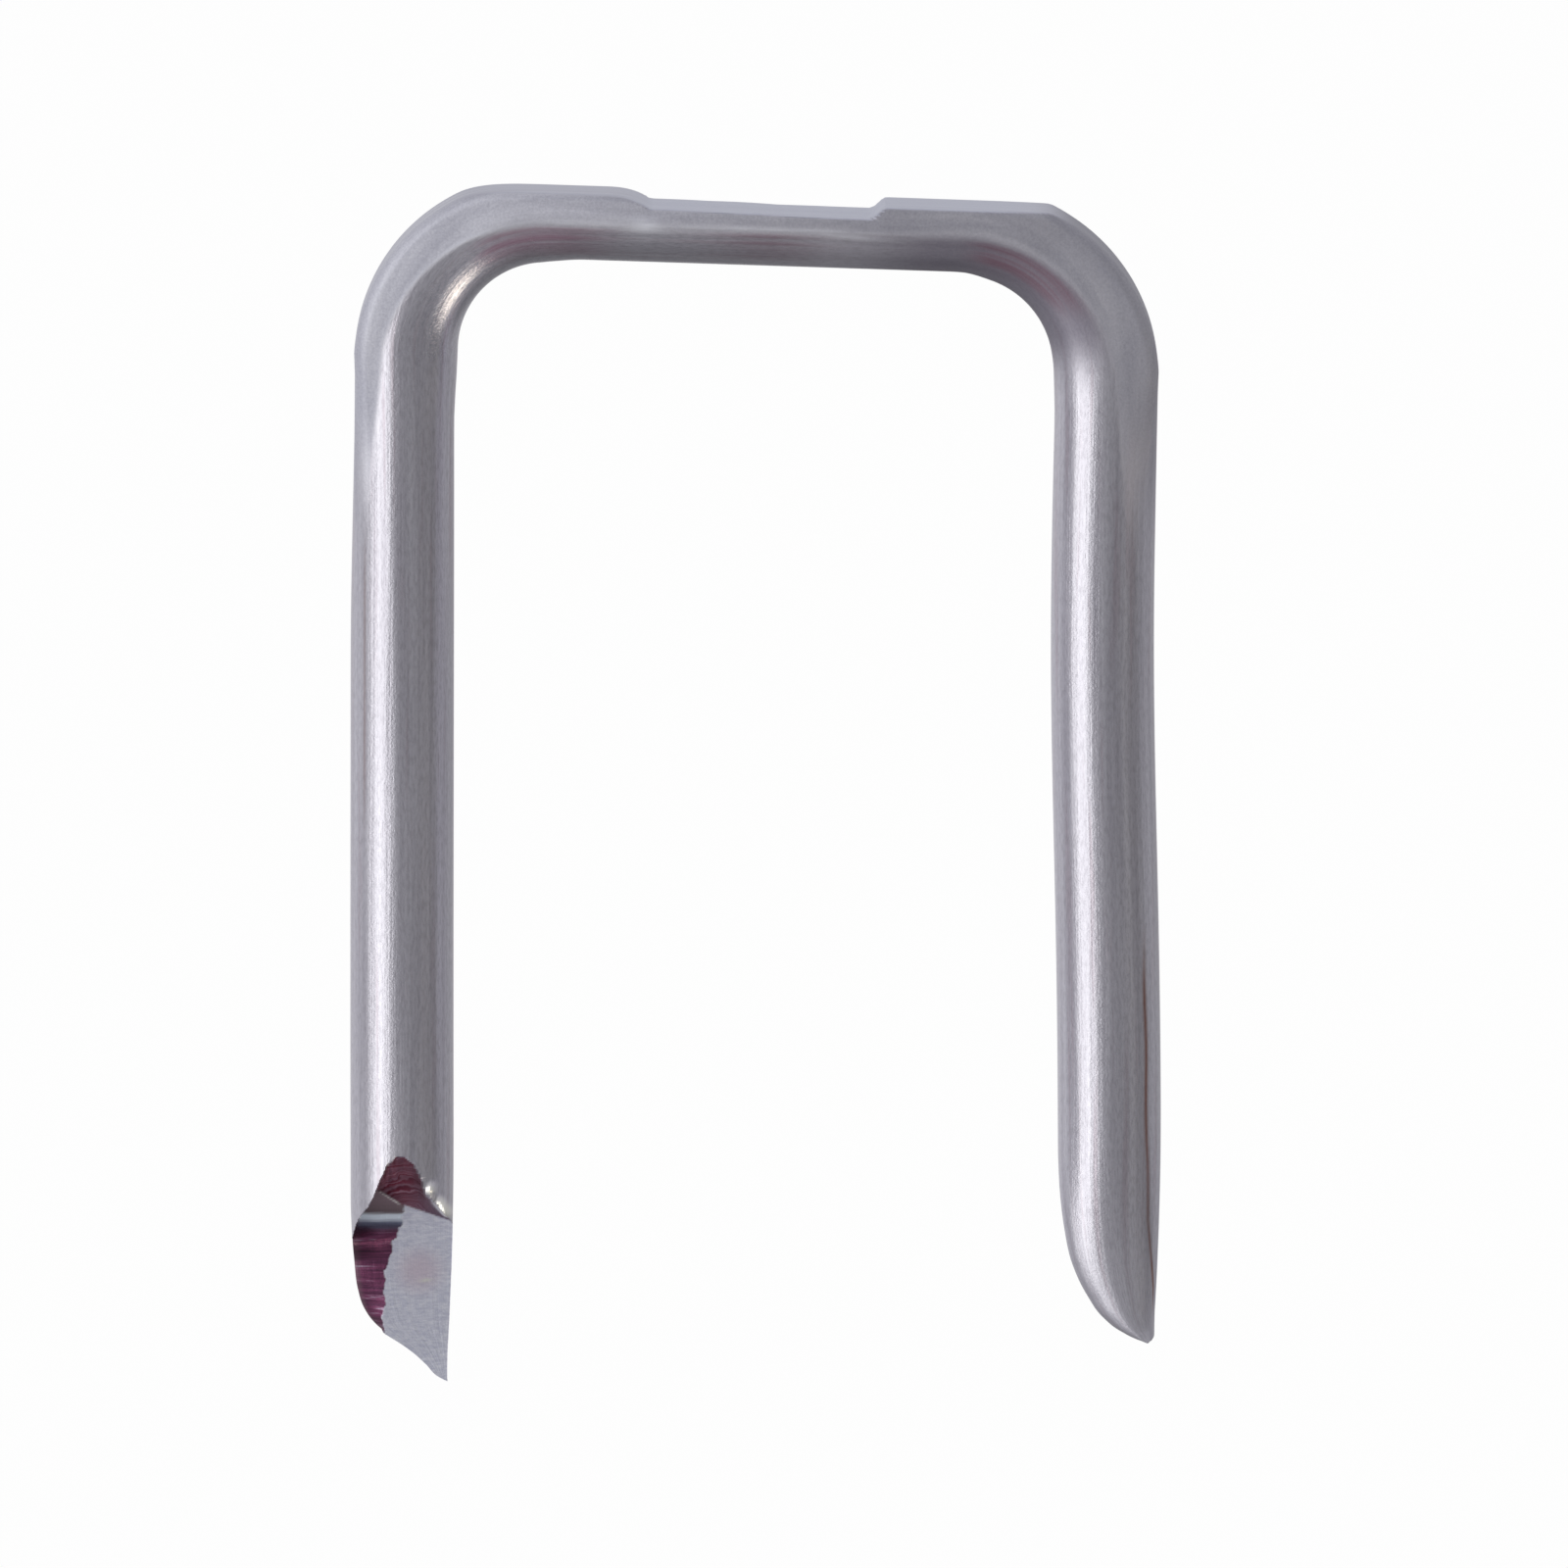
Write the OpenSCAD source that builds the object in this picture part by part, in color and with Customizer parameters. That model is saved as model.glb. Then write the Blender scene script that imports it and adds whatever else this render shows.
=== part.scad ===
// Cable staple: one length of round steel wire, sheared at a slant, bent into a U and struck flat
// on its crown. It is driven over a sheathed cable and holds it against timber.
//
// X runs across the staple, Y is its depth and +Z points from the points up to the crown.
// The origin is midway between the legs, level with the longer leg's point.

/* [Wire] */
// Diameter of the drawn wire
wire_d = 2.45; // [2.1:0.05:2.8]

/* [Channel for the cable] */
// Clear width between the legs
inside_w = 14.4; // [12.5:0.1:20]
// Clear height under the middle of the crown, from the longer leg's point
inside_h = 26.9; // [20:0.5:34]
// How much higher the right leg's point ends than the left leg's
right_leg_short = 1.3; // [0:0.1:3]

/* [Bends] */
// Inner radius of the left bend
left_bend_r = 2.2; // [1.4:0.1:3]
// Inner radius of the right bend
right_bend_r = 2.35; // [1.4:0.1:3]
// Slope of the crown, falling to the right, in degrees
crown_tilt = 2; // [0:0.5:3]
// Radius of the die's hollow, which squares off the outside of both bends
die_r = 5.1; // [4.8:0.05:5.6]
// Height of the struck face above the centre of that hollow's curve
die_rise = 4.56; // [4.4:0.02:4.8]

/* [Struck crown] */
// Height of the crown after the flat blow
crown_t = 1.6; // [1.5:0.02:1.8]
// Width to which the blow spreads the crown
crown_w = 2.7; // [2.5:0.05:3]
// Height of the flat sides that the die leaves under the struck face
side_flat_h = 0.78; // [0.6:0.02:0.9]
// Bevel along both edges of the struck face
edge_bevel = 0.18; // [0.05:0.01:0.3]

/* [Press mark] */
// Length of the press mark's floor
mark_l = 5.3; // [3:0.1:6.5]
// Depth of the press mark under the struck face
mark_depth = 0.26; // [0.1:0.02:0.36]
// Length of the slope at the mark's left end
left_ramp_l = 0.5; // [0.1:0.05:1]
// Length of the slope at the mark's right end
right_ramp_l = 0.3; // [0.1:0.05:1]

/* [Sheared points] */
// Height above the point at which the shear first bites into the wire
bite_h = 4.8; // [3.5:0.1:6]
// Slope of the shoulder under the bite, from level, in degrees
shoulder_slope = 40; // [30:1:55]
// Thickness of the tongue under the shoulder
tongue_root_t = 0.9; // [0.75:0.05:1.2]
// Thickness of the tongue level with its point
tongue_tip_t = 0.58; // [0.3:0.02:0.7]
// Slope of the tongue's torn lower edge, from level, in degrees
point_slope = 38; // [30:1:45]
// Height of the corner between the torn lower edge and the sheared side
corner_h = 1.2; // [0.8:0.05:1.5]
// Height above the point at which the sheared side reaches the wire's flank
flank_h = 3.6; // [2.5:0.1:4.5]

/* [Hidden] */
$fn = 96;
// How far each cutting tool reaches past the wire
reach = 10;
wire_r = wire_d / 2;
// Half the distance between the two legs' axes
half_span = inside_w / 2 + wire_r;
// Height of the unstruck wire's axis at the middle of the crown
axis_h = inside_h + wire_r;
// Radius of each bend at the wire's axis
left_axis_r = left_bend_r + wire_r;
right_axis_r = right_bend_r + wire_r;
// Height of each bend's centre, where its leg ends and the bend begins. Both bends touch the
// sloping crown and their own upright leg.
left_centre_h = axis_h - (left_axis_r - (half_span - left_axis_r) * sin(crown_tilt)) / cos(crown_tilt);
right_centre_h = axis_h - (right_axis_r + (half_span - right_axis_r) * sin(crown_tilt)) / cos(crown_tilt);
// Where the straight crown begins and ends, along its own slope from its middle
left_crown_x = (left_axis_r - half_span) * cos(crown_tilt) - (left_centre_h - axis_h) * sin(crown_tilt);
right_crown_x = (half_span - right_axis_r) * cos(crown_tilt) - (right_centre_h - axis_h) * sin(crown_tilt);
// The crown's own height is measured from the wire's axis: struck face, mark floor and crease
face_z = crown_t - wire_r;
floor_z = face_z - mark_depth;
crease_z = face_z - side_flat_h;
// Room on each side between the die and the legs, so that its hollow runs out on them
die_gap = 0.03;
// The centre of the hollow's curve over each leg
die_x = half_span + wire_r + die_gap - die_r;
die_mid_h = axis_h + face_z - die_rise;
// Where the crown's flat sides run back into the round underside
tuck_y = wire_r * 0.8;
tuck_z = -sqrt(wire_r ^ 2 - tuck_y ^ 2);
// Depth, from the wire's axis, of the tongue's front at the shoulder and at the point
tongue_root_y = wire_r - tongue_root_t;
tongue_tip_y = wire_r - tongue_tip_t;
// The shoulder falls from the bite at the wire's front to the tongue's root
root_h = bite_h - (wire_r + tongue_root_y) * tan(shoulder_slope);
// How far from the wire's axis the point lies: on the wire's flank, at the tongue's front
point_x = sqrt(wire_r ^ 2 - tongue_tip_y ^ 2);
corner_x = point_x - corner_h / tan(point_slope);

// The left leg and its bend, seen from the bend's centre: a leg that ends level with it on the -X
// side, and a bend that turns the wire from there towards +X by a number of degrees
module leg_and_bend(axis_r, leg_l, turn) {
    translate([-axis_r, 0, -leg_l])
        cylinder(r = wire_r, h = leg_l);
    rotate([-90, 0, 0])
        rotate([0, 0, 180])
            rotate_extrude(angle = turn)
                translate([axis_r, 0])
                    circle(r = wire_r);
}

// The metal that the blow spreads sideways, in the crown's end view: flat sides, a flat top with
// bevelled edges, and a slope back under the wire
module spread_section() {
    polygon([
        [-crown_w / 2, crease_z],
        [-tuck_y, tuck_z],
        [tuck_y, tuck_z],
        [crown_w / 2, crease_z],
        [crown_w / 2, face_z - edge_bevel],
        [crown_w / 2 - edge_bevel, face_z],
        [edge_bevel - crown_w / 2, face_z],
        [-crown_w / 2, face_z - edge_bevel],
    ]);
}

// The spread metal of the crown, which seen from above is a bar with round ends
module crown_spread() {
    intersection() {
        translate([-half_span, 0, 0])
            rotate([90, 0, 90])
                linear_extrude(2 * half_span)
                    spread_section();
        translate([0, 0, -reach])
            linear_extrude(2 * reach)
                union() {
                    translate([left_crown_x, -crown_w / 2])
                        square([right_crown_x - left_crown_x, crown_w]);
                    for (x = [left_crown_x, right_crown_x])
                        translate([x, 0])
                            circle(d = crown_w);
                }
    }
}

// Everything above the struck face, and the press mark with its two sloping ends
module crown_blow() {
    rotate([90, 0, 0])
        linear_extrude(2 * reach, center = true)
            polygon([
                [-half_span - reach, face_z],
                [-mark_l / 2 - left_ramp_l, face_z],
                [-mark_l / 2, floor_z],
                [mark_l / 2, floor_z],
                [mark_l / 2 + right_ramp_l, face_z],
                [half_span + reach, face_z],
                [half_span + reach, reach],
                [-half_span - reach, reach],
            ]);
}

// What the die squares off a bend on the -X side: the corner outside its hollow
module bend_blow(die_h) {
    translate([-die_x, 0, die_h])
        difference() {
            translate([-reach, -reach, 0])
                cube([reach, 2 * reach, reach]);
            rotate([90, 0, 0])
                cylinder(r = die_r, h = 3 * reach, center = true);
        }
}

// What the shear takes off the end of a leg whose axis is Z and whose point is at height 0.
// The bite opens towards -Y, and the point is left on the +X side.
module shear_cut() {
    // The shoulder and the tongue's front face
    rotate([90, 0, 90])
        linear_extrude(2 * reach, center = true)
            polygon([
                [-wire_r - reach, bite_h + reach * tan(shoulder_slope)],
                [tongue_root_y, root_h],
                [tongue_tip_y, 0],
                [tongue_tip_y, -reach],
                [-wire_r - reach, -reach],
            ]);
    // The sheared side and the torn lower edge
    rotate([90, 0, 0])
        linear_extrude(2 * reach, center = true)
            polygon([
                [-wire_r, flank_h],
                [corner_x, corner_h],
                [point_x, 0],
                [point_x + reach, 0],
                [point_x + reach, -reach],
                [-wire_r - reach, -reach],
                [-wire_r - reach, flank_h],
            ]);
}

module staple_wire() {
    color("#a6a6ae")
        difference() {
            union() {
                translate([left_axis_r - half_span, 0, left_centre_h])
                    leg_and_bend(left_axis_r, left_centre_h, 90 + crown_tilt);
                // The straight stretch between the bends, before it is struck
                translate([0, 0, axis_h])
                    rotate([0, crown_tilt, 0])
                        translate([left_crown_x, 0, 0])
                            rotate([0, 90, 0])
                                cylinder(r = wire_r, h = right_crown_x - left_crown_x);
                translate([half_span - right_axis_r, 0, right_centre_h])
                    mirror([1, 0, 0])
                        leg_and_bend(right_axis_r, right_centre_h - right_leg_short, 90 - crown_tilt);
                translate([0, 0, axis_h])
                    rotate([0, crown_tilt, 0])
                        crown_spread();
            }
            translate([0, 0, axis_h])
                rotate([0, crown_tilt, 0])
                    crown_blow();
            bend_blow(die_mid_h + die_x * tan(crown_tilt));
            mirror([1, 0, 0])
                bend_blow(die_mid_h - die_x * tan(crown_tilt));
            translate([-half_span, 0, 0])
                shear_cut();
            translate([half_span, 0, right_leg_short])
                mirror([0, 1, 0])
                    shear_cut();
        }
}

staple_wire();
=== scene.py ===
# %% [markdown]
# # A cable staple in Blender
# The real thing is one length of zinc plated steel wire. A machine shears it at a slant, bends it
# into a U around a former and flattens its crown with a blow, so that it can be driven over a
# cable. The exact solid comes in as a fixed frame. This script lays a finer skin over it, which
# has what exact solids leave out: soft pressed edges, draw lines, torn and burnished metal.

# %% Load the frame
import math

import bpy
import numpy as np
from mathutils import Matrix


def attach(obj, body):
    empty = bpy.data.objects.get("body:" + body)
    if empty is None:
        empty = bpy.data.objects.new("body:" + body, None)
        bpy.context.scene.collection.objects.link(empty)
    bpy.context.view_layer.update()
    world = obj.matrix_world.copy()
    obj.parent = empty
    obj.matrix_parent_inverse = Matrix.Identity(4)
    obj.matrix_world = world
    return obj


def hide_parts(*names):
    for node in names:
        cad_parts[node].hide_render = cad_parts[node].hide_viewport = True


bpy.context.scene.view_settings.view_transform = "Standard"
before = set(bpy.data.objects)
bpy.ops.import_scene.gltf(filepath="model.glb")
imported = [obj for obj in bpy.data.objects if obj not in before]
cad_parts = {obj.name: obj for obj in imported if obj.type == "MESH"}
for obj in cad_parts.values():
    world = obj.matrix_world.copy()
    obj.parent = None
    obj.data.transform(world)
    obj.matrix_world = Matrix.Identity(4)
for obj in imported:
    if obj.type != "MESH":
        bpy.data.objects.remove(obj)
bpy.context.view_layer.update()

# %% [markdown]
# ## Sizes
# The sizes are those of the solid, in millimetres. Where the photographed staple departs from a
# neat drawing by a tenth of a millimetre or so, such as in how its legs lean, the skin follows the
# real one.

# %% Sizes in millimetres
MM = 0.001                # a Blender unit is a metre
WIRE_R = 1.225            # radius of the drawn wire
LEFT_X, RIGHT_X = -8.36, 8.36       # the legs' axes where they meet their bends
LEFT_Z, RIGHT_Z = 24.82, 24.34      # heights of the bends' centres
LEFT_BEND, RIGHT_BEND = 3.40, 3.56  # bend radii at the wire's axis
TILT = math.radians(2.0)            # the crown falls to the right
LEFT_TIP_Z, RIGHT_TIP_Z = 0.0, 1.2  # how high each point ends
TIP_H = 6.2                         # length of leg that the shear can reach
print("overall", round(RIGHT_X - LEFT_X + 2 * WIRE_R, 2), "mm across")


def smooth(x, low, high):
    """Smoothstep: 0 below low, 1 above high, and 3t^2 - 2t^3 between them. Where low is the larger
    of the two, it falls from 1 to 0 on the way up."""
    t = np.clip((np.asarray(x, float) - low) / (high - low), 0, 1)
    return t * t * (3 - 2 * t)


def soft_min(a, b, k):
    """The smaller of two values, with the corner where they cross rounded over a width of k."""
    h = np.clip(0.5 + 0.5 * (b - a) / k, 0, 1)
    return b + (a - b) * h - k * h * (1 - h)


# %% [markdown]
# ## The line that the wire follows
# The wire's axis is two upright lines, two arcs and a sloping line between them. It is worked out
# as a list of stations. Each has a place, and the direction that points out of the U, because the
# die presses the wire from outside. A curve object with a bevel could carry a round wire along the
# line, but it could not change the section from round to pressed on the way.

# %% Stations along the wire
def arc(cx, cz, radius, a0, a1, n):
    """Points of a circle's arc from angle a0 to a1, and the directions out of the circle."""
    a = np.linspace(a0, a1, n)
    out = np.stack([np.cos(a), np.sin(a)], 1)
    return np.array([cx, cz]) + radius * out, out


def line(p0, p1, out, n):
    """n evenly spaced points from p0 to p1, all with the same outward direction."""
    t = np.linspace(0, 1, n)[:, None]
    return p0 + (np.array(p1) - p0) * t, np.tile(out, (n, 1))


LEG_ROWS, BEND_ROWS, CROWN_ROWS = 36, 64, 110
left_centre = np.array([LEFT_X + LEFT_BEND, LEFT_Z])
right_centre = np.array([RIGHT_X - RIGHT_BEND, RIGHT_Z])
crown_up = np.array([math.sin(TILT), math.cos(TILT)])
crown_left = left_centre + LEFT_BEND * crown_up
crown_right = right_centre + RIGHT_BEND * crown_up
left_foot = np.array([LEFT_X, LEFT_TIP_Z + TIP_H])
right_foot = [RIGHT_X, RIGHT_TIP_Z + TIP_H]
parts = [
    line(left_foot, [LEFT_X, LEFT_Z], [-1, 0], LEG_ROWS),
    arc(*left_centre, LEFT_BEND, math.pi, math.pi / 2 - TILT, BEND_ROWS),
    line(crown_left, crown_right, crown_up, CROWN_ROWS),
    arc(*right_centre, RIGHT_BEND, math.pi / 2 - TILT, 0, BEND_ROWS),
    line(np.array([RIGHT_X, RIGHT_Z]), right_foot, [1, 0], LEG_ROWS),
]
axis = np.concatenate([parts[0][0]] + [p[1:] for p, _ in parts[1:]])
outward = np.concatenate([parts[0][1]] + [o[1:] for _, o in parts[1:]])
axis_x, axis_z = axis[:, 0], axis[:, 1]
on_left = axis_x < 0
print("stations between the points", len(axis))

# %% [markdown]
# ## How far the die presses in
# The die touches the outside of both bends along a curve that is tighter than the wire's own, and
# the crown along a plane. A second blow leaves a press mark in the crown's middle, with a soft
# slope at its left end and a short one at its right. The section needs one number from all this:
# how far the die's face is from the wire's axis, at each station.

# %% Distance from the axis to the die's face
FACE = 0.375        # struck face above the axis, at the crown's right half
FACE_LEFT = 0.05    # how much higher it is at the left half
MARK = 0.115        # floor of the press mark above the axis
# The hollow of the die over each bend: the centre of its curve, and its radius
LEFT_DIE, LEFT_DIE_R = (-5.12, 24.54), 4.38
RIGHT_DIE, RIGHT_DIE_R = (4.93, 24.0), 4.65
NOT_THERE = 9       # a distance that no soft minimum will pick


def die_curve(p, out, centre, radius):
    """Distance from each point along its outward direction to a circle: the far root of the
    quadratic that a line and a circle give."""
    d = p - np.array(centre)
    b = np.sum(d * out, 1)
    return -b + np.sqrt(np.maximum(radius ** 2 - np.sum(d * d, 1) + b * b, 0))


left_die = np.where(axis_x < -4, die_curve(axis, outward, LEFT_DIE, LEFT_DIE_R), NOT_THERE)
# Past the middle of its hollow the left die runs on level
level_h = LEFT_DIE[1] + LEFT_DIE_R - axis_z
left_die = np.where(axis_x > LEFT_DIE[0], level_h, left_die)
right_die = np.where(axis_x > 4, die_curve(axis, outward, RIGHT_DIE, RIGHT_DIE_R), NOT_THERE)
cos_up = np.clip(outward @ crown_up, 0.05, 1)
middle = 0.5 * (crown_left + crown_right)
face_h = FACE + FACE_LEFT * (1 - smooth(axis_x, -2, 2))
pressed = (face_h - (axis - middle) @ crown_up) / cos_up
# The press mark: 1 on its floor, with a slope of 1.04 mm at its left end and 0.4 mm at its right
mark = np.clip((axis_x + 3.53) / 1.04, 0, 1) ** 2.5 * (1 - smooth(axis_x, 2.68, 3.08))
pressed = pressed - (FACE - MARK + 0.02) * mark
# The corner between crown and bend is soft at the left and nearly sharp at the right
face = np.where(on_left, soft_min(pressed, left_die, 0.32), soft_min(pressed, right_die, 0.05))
# Below the bends the flat runs out on the legs
run_out_left = WIRE_R - 0.115 * smooth(axis_z, 17.5, 25.2)
run_out_right = WIRE_R - 0.022 * smooth(axis_z, 20.0, 24.5)
face = np.where(on_left & (axis_z < LEFT_Z), run_out_left, face)
face = np.where(~on_left & (axis_z < RIGHT_Z), run_out_right, face)
face = np.minimum(face, WIRE_R)
print("die's face above the axis from", round(face.min(), 3), "to", round(face.max(), 3), "mm")

# %% [markdown]
# ## The wire's section
# A round section becomes a pressed one in three zones. Below a crease the wire's circle is left as
# it was. Above it the die's cheeks hold the sides nearly flat, leaning in a little so that the
# staple drops out of the die. On top lies the die's face. Each plane is a distance divided by a
# cosine in polar form, and a soft minimum rounds the corner as pressed metal is. More points lie
# near the face's two edges, where the section turns quickest. The former, on the inside of the
# bends, squeezes out a low swell.

# %% Angles around the section
HALF = 80           # points on each half of the section
EDGE_AT = 1.15      # angle from the top, in radians, near which the points are closest together
steps = np.linspace(0, math.pi, 2001)
density = 1 + 1.6 * np.exp(-((steps - EDGE_AT) / 0.42) ** 2)
reach = np.concatenate([[0], np.cumsum((density[1:] + density[:-1]) / 2)])
half_angle = np.interp(np.linspace(0, reach[-1], HALF + 1), reach, steps)
theta = np.concatenate([half_angle, 2 * math.pi - half_angle[-2:0:-1]])
COLS = len(theta)
cos_t, sin_t = np.cos(theta), np.sin(theta)
print("points around the wire", COLS)

# %% Crease, cheeks and edges at every station
struck = smooth(cos_up, 0.80, 0.985)
in_bend = smooth(axis_z, np.where(on_left, 20.0, 21.5), 25.6)
# The crease is lowest on the crown, and climbs towards the face around the bends
crease = -0.24 + np.where(on_left, 0.72, 0.40) * (1 - np.clip(outward @ crown_up, 0, 1))
crease = crease + 0.10 * np.maximum(LEFT_Z - axis_z, 0)
cheek = np.sqrt(WIRE_R ** 2 - np.clip(crease, -1, 1) ** 2) + 0.08 * struck - 0.02 * mark
edge_k = np.where(on_left, 0.42, 0.24) * struck + 0.50 * (1 - struck)
edge_k = edge_k + (0.12 - edge_k) * mark
# The cheeks lean in, by 8 degrees at the left and 3 at the right
lean = 0.14 - 0.09 * smooth(axis_x, -5, 3)
print("crease from", round(crease.min(), 2), "to", round(crease.max(), 2), "mm above the axis")


# %% The section at every station
def section_radius(face_h, cheek_w, crease_h, press, k):
    """Polar radius of the section, one row per station: the wire's circle below the crease, the
    leaning cheeks above it, and the face. press says how much of the cheeks shows, and k is how
    far the corner between cheek and face is rounded. The face is moved out by what the rounding
    takes off in the middle: for a depth d under the body that is k - 2 sqrt(k d)."""
    to_cheek = np.abs(sin_t) + lean[:, None] * cos_t
    side = (cheek_w + lean * crease_h)[:, None] / np.maximum(to_cheek, 0.05)
    side = np.clip(side, 0.5, 1.9)
    drop = 0.24 + 0.08 * struck[:, None]
    above = smooth((WIRE_R * cos_t[None] - crease_h[:, None]) / drop, -1, 1) * press[:, None]
    body = WIRE_R + (side - WIRE_R) * above
    middle_r = body[:, 0]
    d = np.maximum(middle_r - face_h, 0)
    face_out = np.where(d < k, middle_r + k - 2 * np.sqrt(k * d), face_h)
    top = np.where(cos_t > 1e-3, face_out[:, None] / np.maximum(cos_t, 1e-3), 1e3)
    return soft_min(body, top, k[:, None])


rho = section_radius(face, cheek, crease, in_bend, edge_k)
# The former's swell, 0.09 mm high in the left bend and 0.07 mm in the right one
swell = 0.09 * smooth(axis_z, 23, 25) * (1 - smooth(axis_x, -5.2, -4.0))
swell = swell + 0.07 * smooth(axis_z, 23, 25) * smooth(axis_x, 4.6, 6.0)
rho = rho + swell[:, None] * smooth(-cos_t, 0.2, 0.9)[None]
w = rho * cos_t
u = -rho * sin_t
sweep = np.stack([
    axis[:, 0, None] + outward[:, 0, None] * w,
    u,
    axis[:, 1, None] + outward[:, 1, None] * w,
], 2)
print("section heights from", round(float(w.min()), 3), "to", round(float(w.max()), 3), "mm")

# %% [markdown]
# ## The sheared points
# The shear bites into the wire, slides down it and tears the rest off. It leaves a tongue: round on
# one side, with a cut face on the other. The face has a torn flake above the bite, a smooth
# burnished band where the blade slid, and a grey fracture where the metal gave way. Two burrs stand
# beside the flake. Both points are the same cut, turned to opposite sides. At each height the
# section is a back arc and a front line, so a grid of height and position across gives the whole
# point. A boolean cut would leave long thin faces and no even rows for the finishes to follow.

# %% Outlines of the cut
# Each pair of lists is a line through points in millimetres, from the wire's axis and the point's
# end. Depth of the torn face at some heights:
TEAR_Z = [0.0, 0.7, 1.4, 2.1, 2.9, 3.7, 4.5, 6.2]
TEAR_Y = [0.57, 0.57, 0.53, 0.46, 0.37, 0.28, 0.18, 0.0]
# Height of the flake's upper rim, from left to right:
RIM_X = [-1.225, -1.04, -0.787, -0.65, -0.558, -0.325, -0.07, 0.21, 0.35, 0.44, 0.54,
         0.837, 1.093, 1.225]
RIM_Z = [3.45, 4.06, 4.42, 4.68, 4.97, 5.48, 5.72, 5.60, 5.42, 5.17, 4.78,
         4.476, 4.15, 3.85]
# Ragged edge between the burnished band and the fracture:
EDGE_Z = [1.1, 1.5, 2.0, 2.70, 2.76, 3.10, 3.15, 3.45, 3.50, 3.75, 3.80, 4.2]
EDGE_X = [-0.46, -0.48, -0.42, -0.44, -0.34, -0.33, -0.25, -0.22, -0.14, -0.12, 0.0, 0.02]
# Left outline of each point. The right one is rounder at its end:
LEFT_LOW_Z = [0.0, 0.05, 0.43, 0.68, 0.89, 1.06, 1.22, 1.41, 1.75, 2.24, 2.9, 3.5, 4.1, 9]
LEFT_LOW_X = [1.06, 0.95, 0.53, 0.26, -0.02, -0.28, -0.52, -0.71, -0.925, -1.07, -1.145,
              -1.18, -1.212, -1.225]
RIGHT_LOW_Z = [0.0, 0.05, 0.22, 0.55, 1.08, 1.85, 2.72, 3.6, 4.4, 9]
RIGHT_LOW_X = [0.82, 0.63, 0.26, -0.16, -0.54, -0.90, -1.09, -1.19, -1.225, -1.225]
# Places across and up: the centre of the flake's scoop, both burrs and a painted glint on the
# fracture
FLAKE_X, FLAKE_Z = 0.15, 4.0
SMALL_BURR, LONG_BURR, FRACTURE_GLINT = (0.68, 4.86), (0.97, 4.38), (0.547, 2.46)
BURR_WAY = (0.56, 0.83)     # the long burr slants down to the right: across, and down
END_H = 0.16                # height over which a rounded end closes
OVAL_SHARE = 0.95           # the back's oval stops short here, and meets the cut at a corner
print("flake", round(max(RIM_Z) - FLAKE_Z, 2), "mm high above its centre")


# %% The cut surface of a point
def rounded_interp(x, xs, ys, spread):
    """A broken line through the given points, with each value averaged over a short spread so
    that the corners are round."""
    offs = np.linspace(-spread, spread, 9)
    return np.mean([np.interp(x + o, xs, ys) for o in offs], 0)


def curve_through(x, xs, ys):
    """Smooth curve through the given points: a cubic on each stretch, whose slope at each point is
    that of the line between its two neighbours."""
    xs, ys = np.array(xs, float), np.array(ys, float)
    slope = np.gradient(ys, xs)
    i = np.clip(np.searchsorted(xs, x) - 1, 0, len(xs) - 2)
    h = xs[i + 1] - xs[i]
    t = np.clip((x - xs[i]) / h, 0, 1)
    return ((2 * t ** 3 - 3 * t ** 2 + 1) * ys[i] + (t ** 3 - 2 * t ** 2 + t) * h * slope[i]
            + (3 * t ** 2 - 2 * t ** 3) * ys[i + 1] + (t ** 3 - t ** 2) * h * slope[i + 1])


def flake_line(x):
    """Height of the torn flake's lower edge: a slope to the right, steeper at its left end."""
    return 4.32 - 0.34 * x + 0.32 * np.maximum(-0.1 - x, 0)


def cut_face(x, z, x_low, flank_y):
    """Depth of the cut face across and up the leg. Below the flake it is the torn face. Left of the
    edge line it turns away, in proportion, to the wire's flank at depth flank_y. The flake is a
    scoop that starts at the wire's surface, on its rim, and has reached the torn face at its lower
    edge. Its depth goes with the share of the way down to the power 0.85, plus low ripples."""
    tear = rounded_interp(z, TEAR_Z, TEAR_Y, 0.10)
    tear = tear + 0.05 * (x - 0.3) * smooth(z, 3.8, 3.0)
    edge = np.interp(z, EDGE_Z, EDGE_X)
    edge = edge + 0.022 * np.tanh(3 * np.sin(z * 10.5 + 0.6)) + 0.014 * np.tanh(3 * np.sin(z * 31))
    t = np.clip((edge - x) / np.maximum(edge - x_low, 0.05), 0, 1)
    band = tear + (flank_y - tear) * t * smooth(z, 3.9, 3.3)
    rim = rounded_interp(x, RIM_X, RIM_Z, 0.05)
    ragged = 0.03 * np.sin(9 * x + 1) * np.sin(23 * x)
    rim = rim + ragged * smooth(x, -0.6, -0.4) * smooth(x, 0.9, 0.6)
    line_z = np.minimum(flake_line(x), rim - 0.06)
    down = np.clip((rim - z) / (rim - line_z), 0, 1)
    front = -np.sqrt(np.maximum(WIRE_R ** 2 - x * x, 0))
    ripples = 0.05 * np.sin(26 * np.hypot(x - FLAKE_X, z - FLAKE_Z))
    scoop = down ** 0.85 + ripples * down * (1 - down)
    return front + (band - front) * scoop, rim, edge


print("tongue", round(WIRE_R - TEAR_Y[0], 3), "mm thick at its end")


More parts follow.
